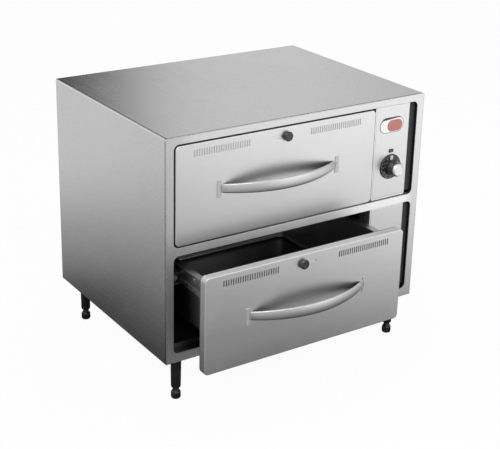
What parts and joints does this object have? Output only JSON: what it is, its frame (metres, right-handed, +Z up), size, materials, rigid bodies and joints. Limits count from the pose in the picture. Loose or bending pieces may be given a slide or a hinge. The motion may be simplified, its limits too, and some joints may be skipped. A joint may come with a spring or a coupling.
{
  "type": "countertop warming drawer",
  "caption": "Free-standing stainless steel warming cabinet with stacked pull-out heated drawers, sliding vents, bow handles, thermostat dials and adjustable legs.",
  "frame": {"origin": "on the counter, under the middle of the box that holds the whole part with the lower drawer pulled out", "axes": "+Z up, -Y to the front where the drawers pull out, +X to the right where the controls are"},
  "size_m": [0.749, 0.745, 0.674],
  "materials": {
    "stainless_shell": "brushed front to back",
    "stainless_front": "brushed left to right",
    "handle_steel": "satin",
    "pan_steel": "drawn satin",
    "liner_steel": "plain rolled",
    "plain_steel": "plain rolled",
    "zinc_steel": "zinc plated",
    "screw_steel": "plain",
    "plate_satin": "satin with a plain band",
    "mineral_wool": "matted fibre",
    "element_sheath": "oxidised sheath",
    "ceramic": "glazed",
    "black_nylon": "moulded",
    "black_knob": "moulded phenolic",
    "cap_chrome": "bright cap",
    "pilot_amber": "tinted lens",
    "black_paint": "black enamel",
    "black_foot": "moulded",
    "silicone": "moulded",
    "roller_nylon": "moulded nylon"
  },
  "bodies": {
    "cabinet": {"outer_shell": "stainless_shell", "front_frame": "stainless_front", "back_panel": "plain_steel", "bottom_panel": "plain_steel", "cable_bushing": "black_nylon", "terminal_block": "ceramic", "name_plate": "plate_satin", "cabinet_screws": "screw_steel", "leg_front_left": "black_paint", "leg_front_right": "black_paint", "leg_rear_left": "black_paint", "leg_rear_right": "black_paint", "lower_liner": "liner_steel", "lower_insulation": "mineral_wool", "lower_heating_element": "element_sheath", "lower_cabinet_rails": "zinc_steel", "lower_control_panel": "stainless_front", "lower_thermostat": "black_nylon", "lower_pilot_light": "pilot_amber", "upper_liner": "liner_steel", "upper_insulation": "mineral_wool", "upper_heating_element": "element_sheath", "upper_cabinet_rails": "zinc_steel", "upper_control_panel": "stainless_front", "upper_thermostat": "black_nylon", "upper_pilot_light": "pilot_amber"},
    "foot_front_left": {"foot_front_left": "black_foot"},
    "foot_front_right": {"foot_front_right": "black_foot"},
    "foot_rear_left": {"foot_rear_left": "black_foot"},
    "foot_rear_right": {"foot_rear_right": "black_foot"},
    "lower_drawer": {"lower_drawer_front": "stainless_front", "lower_inner_panel": "liner_steel", "lower_front_insulation": "mineral_wool", "lower_gasket": "silicone", "lower_handle": "handle_steel", "lower_carrier": "liner_steel", "lower_drawer_rails": "zinc_steel", "lower_drawer_screws": "screw_steel", "lower_pan": "pan_steel"},
    "lower_vent": {"lower_vent_shutter": "liner_steel", "lower_vent_knob": "black_knob"},
    "lower_cabinet_rollers": {"lower_cabinet_rollers": "roller_nylon"},
    "lower_drawer_rollers": {"lower_drawer_rollers": "roller_nylon"},
    "lower_thermostat_knob": {"lower_thermostat_knob": "black_knob", "lower_knob_cap": "cap_chrome"},
    "upper_drawer": {"upper_drawer_front": "stainless_front", "upper_inner_panel": "liner_steel", "upper_front_insulation": "mineral_wool", "upper_gasket": "silicone", "upper_handle": "handle_steel", "upper_carrier": "liner_steel", "upper_drawer_rails": "zinc_steel", "upper_drawer_screws": "screw_steel", "upper_pan": "pan_steel"},
    "upper_vent": {"upper_vent_shutter": "liner_steel", "upper_vent_knob": "black_knob"},
    "upper_cabinet_rollers": {"upper_cabinet_rollers": "roller_nylon"},
    "upper_drawer_rollers": {"upper_drawer_rollers": "roller_nylon"},
    "upper_thermostat_knob": {"upper_thermostat_knob": "black_knob", "upper_knob_cap": "cap_chrome"}
  },
  "joints": [
    {"name": "foot_front_left_turn", "type": "hinge", "parent": "cabinet", "child": "foot_front_left", "pos_m": [-0.3295, -0.1625, 0], "axis": [0, 0, 1], "continuous": true},
    {"name": "foot_front_right_turn", "type": "hinge", "parent": "cabinet", "child": "foot_front_right", "pos_m": [0.3295, -0.1625, 0], "axis": [0, 0, 1], "continuous": true},
    {"name": "foot_rear_left_turn", "type": "hinge", "parent": "cabinet", "child": "foot_rear_left", "pos_m": [-0.3295, 0.3255, 0], "axis": [0, 0, 1], "continuous": true},
    {"name": "foot_rear_right_turn", "type": "hinge", "parent": "cabinet", "child": "foot_rear_right", "pos_m": [0.3295, 0.3255, 0], "axis": [0, 0, 1], "continuous": true},
    {"name": "lower_drawer_slide", "type": "slide", "parent": "cabinet", "child": "lower_drawer", "axis": [0, -1, 0], "range_m": [-0.13, 0.25]},
    {"name": "lower_vent_slide", "type": "slide", "parent": "lower_drawer", "child": "lower_vent", "axis": [1, 0, 0], "range_m": [0, 0.0352]},
    {"name": "lower_thermostat_turn", "type": "hinge", "parent": "cabinet", "child": "lower_thermostat_knob", "pos_m": [0.276, -0.1945, 0.226], "axis": [0, 1, 0], "range_deg": [0, 270]},
    {"name": "lower_cabinet_rollers_turn", "type": "hinge", "parent": "cabinet", "child": "lower_cabinet_rollers", "pos_m": [-0.065, -0.1521, 0.318], "axis": [1, 0, 0], "continuous": true},
    {"name": "lower_drawer_rollers_turn", "type": "hinge", "parent": "lower_drawer", "child": "lower_drawer_rollers", "pos_m": [-0.065, 0.1301, 0.318], "axis": [1, 0, 0], "continuous": true},
    {"name": "upper_drawer_slide", "type": "slide", "parent": "cabinet", "child": "upper_drawer", "axis": [0, -1, 0], "range_m": [0, 0.38]},
    {"name": "upper_vent_slide", "type": "slide", "parent": "upper_drawer", "child": "upper_vent", "axis": [1, 0, 0], "range_m": [-0.0352, 0]},
    {"name": "upper_thermostat_turn", "type": "hinge", "parent": "cabinet", "child": "upper_thermostat_knob", "pos_m": [0.276, -0.1945, 0.495], "axis": [0, 1, 0], "range_deg": [0, 270]},
    {"name": "upper_cabinet_rollers_turn", "type": "hinge", "parent": "cabinet", "child": "upper_cabinet_rollers", "pos_m": [-0.065, -0.1521, 0.587], "axis": [1, 0, 0], "continuous": true},
    {"name": "upper_drawer_rollers_turn", "type": "hinge", "parent": "upper_drawer", "child": "upper_drawer_rollers", "pos_m": [-0.065, 0.2601, 0.587], "axis": [1, 0, 0], "continuous": true}
  ],
  "couplings": [
    {"joint": "lower_cabinet_rollers_turn", "follows": "lower_drawer_slide", "rad_per_m": 83.333},
    {"joint": "lower_drawer_rollers_turn", "follows": "lower_drawer_slide", "rad_per_m": 83.333},
    {"joint": "upper_cabinet_rollers_turn", "follows": "upper_drawer_slide", "rad_per_m": 83.333},
    {"joint": "upper_drawer_rollers_turn", "follows": "upper_drawer_slide", "rad_per_m": 83.333}
  ]
}
